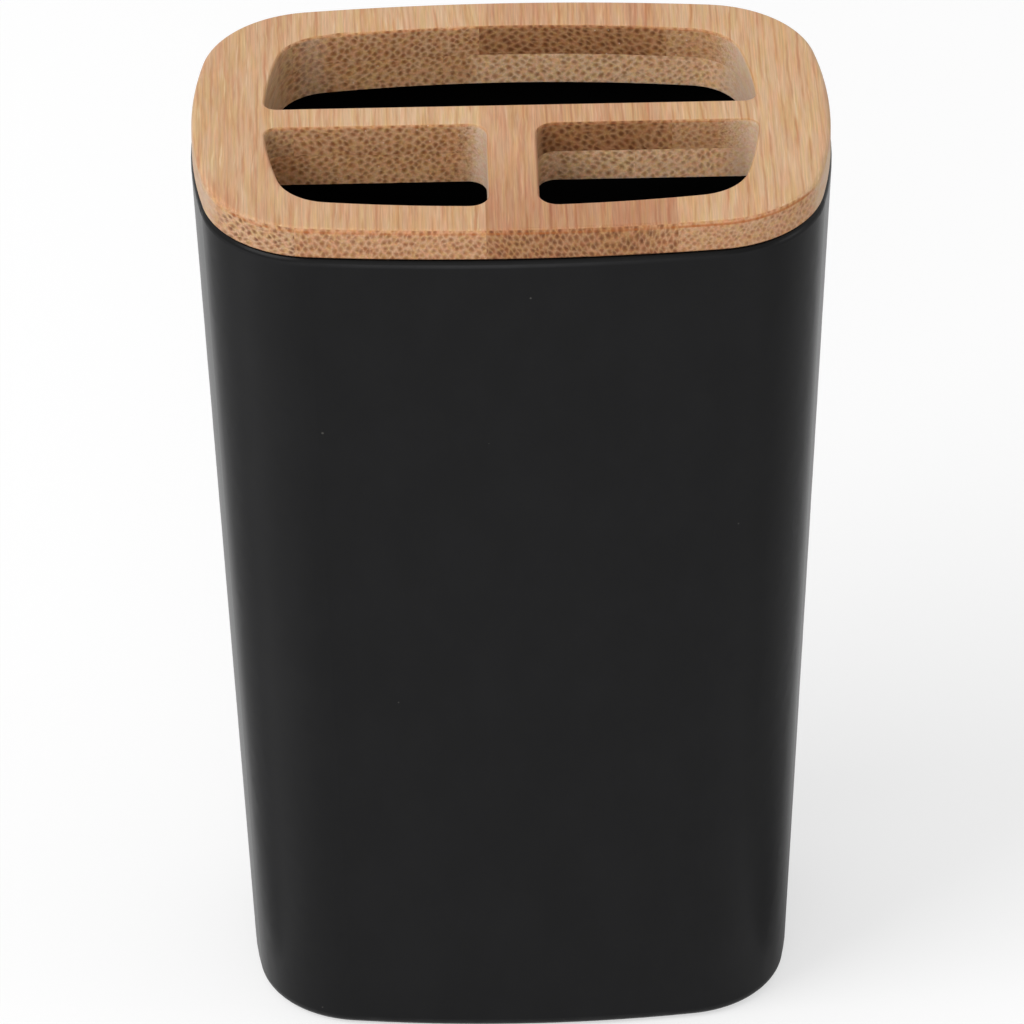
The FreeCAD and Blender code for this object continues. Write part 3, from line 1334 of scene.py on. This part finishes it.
@dataclass
class Studio:
    """A plain white floor, a white surround and soft lamps."""

    floor_half_width: float = 6.0
    floor_colour: Rgb = (188, 188, 188)
    floor_glow: float = 0.56
    surround_light: float = 0.54
    side_middle: Span = (0.037, -0.013)
    left_card: FloorCard = FloorCard(
        dark_from=0.38,
        dark_to=0.7,
        depth=0.5,
        light_from=1.3,
        light_to=1.75,
        lift=0.5,
        front_dip=0.12,
        foot_shadow_depth=0.2,
        foot_shadow_reach=0.05,
    )
    right_card: FloorCard = FloorCard(
        dark_from=0.38,
        dark_to=0.75,
        depth=0.46,
        light_from=1.9,
        light_to=2.5,
        lift=0.32,
        front_dip=0.0,
        foot_shadow_depth=0.6,
        foot_shadow_reach=0.065,
    )
    lamps: tuple[Lamp, ...] = (
        Lamp("key_lamp", azimuth=-62.0, elevation=44.0, distance=1.5, size=0.9, power=11.0),
        Lamp("front_lamp", azimuth=-8.0, elevation=22.0, distance=1.7, size=1.2, power=4.0),
        Lamp("right_lamp", azimuth=80.0, elevation=8.0, distance=1.6, size=0.7, power=3.0),
    )

    def build(self) -> None:
        """Makes the floor, the surround and the lamps."""
        self.make_floor()
        self.make_surround()
        middle = (CAD_BOX[0] + CAD_BOX[1]) / 2
        for lamp in self.lamps:
            lamp.build(middle)

    def make_floor(self) -> None:
        """Makes the floor, which glows a little so that it comes out white to the eye."""
        mesh = bpy.data.meshes.new("floor")
        shape = bmesh.new()
        bmesh.ops.create_grid(shape, x_segments=1, y_segments=1, size=self.floor_half_width)
        shape.to_mesh(mesh)
        shape.free()
        floor = placed("floor", mesh)
        material, graph, shader = new_material("floor_paper")
        path = graph.add("ShaderNodeLightPath")
        eye = path.outputs["Is Camera Ray"]
        straight = graph.math("ADD", eye, path.outputs["Is Transmission Ray"], clamp=True)
        mirrored = path.outputs["Is Glossy Ray"]
        cards = self.card_shade(graph)
        paper = graph.math("SUBTRACT", 1.0, graph.product(mirrored, graph.math("SUBTRACT", 1.0, cards)))
        colour = graph.mix(paper, BLACK, linear(self.floor_colour))
        graph.feed(shader.inputs["Base Color"], colour)
        shader.inputs["Roughness"].default_value = 0.9
        shader.inputs["Specular IOR Level"].default_value = 0.0
        shader.inputs["Emission Color"].default_value = WHITE
        seen = graph.math("ADD", straight, graph.product(mirrored, cards), clamp=True)
        graph.feed(shader.inputs["Emission Strength"], graph.math("MULTIPLY", seen, self.floor_glow))
        mesh.materials.append(material)

    def card_shade(self, graph: ShaderGraph) -> Socket:
        """How bright each place on the floor looks in a reflection, with the two dark cards on it.

        Args:
            graph: The floor's graph.

        Returns:
            The share of the floor's full brightness.
        """
        x, y, _ = graph.split(graph.add("ShaderNodeTexCoord").outputs["Object"])
        half_width, depth = self.side_middle
        outward = graph.math("SUBTRACT", graph.math("ABSOLUTE", x), half_width)
        aside = graph.math("MAXIMUM", outward, 0.0)
        back = graph.math("SUBTRACT", y, depth)
        turn = graph.math("ARCTAN2", aside, back)
        away = graph.length(aside, back)
        behind = graph.ease(back, -0.01, 0.005)
        left = self.left_card.share(graph, turn, away, behind)
        right = self.right_card.share(graph, turn, away, behind)
        on_right = graph.ease(x, -0.004, 0.004)
        step = graph.product(graph.math("SUBTRACT", right, left), on_right)
        return graph.math("ADD", left, step)

    def make_surround(self) -> None:
        """Makes the surround white to the eye and to reflections, and softer as a light."""
        world = bpy.data.worlds.new("studio_surround")
        world.use_nodes = True
        graph = ShaderGraph(world.node_tree)
        background = graph.add("ShaderNodeBackground")
        output = graph.add("ShaderNodeOutputWorld")
        seen = self.seen_rays(graph)
        strength = graph.scale_shift(seen, 1.0 - self.surround_light, self.surround_light)
        graph.feed(background.inputs["Strength"], strength)
        background.inputs["Color"].default_value = WHITE
        graph.feed(output.inputs["Surface"], background.outputs[0])
        bpy.context.scene.world = world

    def seen_rays(self, graph: ShaderGraph) -> Socket:
        """Tells the rays that end in the picture from those that only carry light.

        Args:
            graph: The surround's graph.

        Returns:
            1 for what is seen straight, in a reflection or through glass, and 0 for light.
        """
        path = graph.add("ShaderNodeLightPath")
        glossy = path.outputs["Is Glossy Ray"]
        mirrored = graph.math("ADD", glossy, path.outputs["Is Transmission Ray"], clamp=True)
        return graph.math("ADD", path.outputs["Is Camera Ray"], mirrored, clamp=True)


@dataclass
class PhotoCamera:
    """The camera that took the photograph: a long lens that looks down at the front."""

    aim: Vector = field(default_factory=lambda: Vector((-0.000808, -0.026610, 0.080896)))
    distance: float = 1.30738
    tilt: float = 34.244
    turn: float = 0.825
    roll: float = -0.697
    focal_pixels: float = 11000.0
    frame_pixels: float = 1024.0
    sensor_mm: float = 36.0

    def build(self) -> bpy.types.Object:
        """Makes the camera and hands it to the scene.

        Returns:
            The camera.
        """
        data = bpy.data.cameras.new("photo_camera")
        data.sensor_width = self.sensor_mm
        data.lens = self.focal_pixels / self.frame_pixels * self.sensor_mm
        data.dof.use_dof = False
        data.clip_start = 0.05
        data.clip_end = 30.0
        camera = placed("photo_camera", data)
        camera.matrix_world = self.placement()
        bpy.context.scene.camera = camera
        return camera

    def placement(self) -> Matrix:
        """Works out where the camera stands and how it is turned.

        Returns:
            The camera's matrix.
        """
        turn, tilt, roll = (math.radians(angle) for angle in (self.turn, self.tilt, self.roll))
        right = Vector((math.cos(turn), -math.sin(turn), 0.0))
        level = Vector((math.sin(turn), math.cos(turn), 0.0))
        ahead = level * math.cos(tilt) - Vector((0.0, 0.0, math.sin(tilt)))
        above = level * math.sin(tilt) + Vector((0.0, 0.0, math.cos(tilt)))
        rolled_right = right * math.cos(roll) + above * math.sin(roll)
        rolled_above = above * math.cos(roll) - right * math.sin(roll)
        turned = Matrix((rolled_right, rolled_above, -ahead)).transposed().to_4x4()
        return Matrix.Translation(self.aim - ahead * self.distance) @ turned


def main() -> None:
    """Builds everything in order and reports each piece."""
    logging.basicConfig(level=logging.INFO, format="%(message)s")
    scene = bpy.context.scene
    scene.view_settings.view_transform = "Standard"
    for assembly in (Cup(), BambooLid()):
        for piece in assembly.build():
            LOG.info("%s: %s rides on %s", type(assembly).__name__, piece.name, assembly.body)
    Studio().build()
    PhotoCamera().build()


if __name__ == "__main__":
    main()
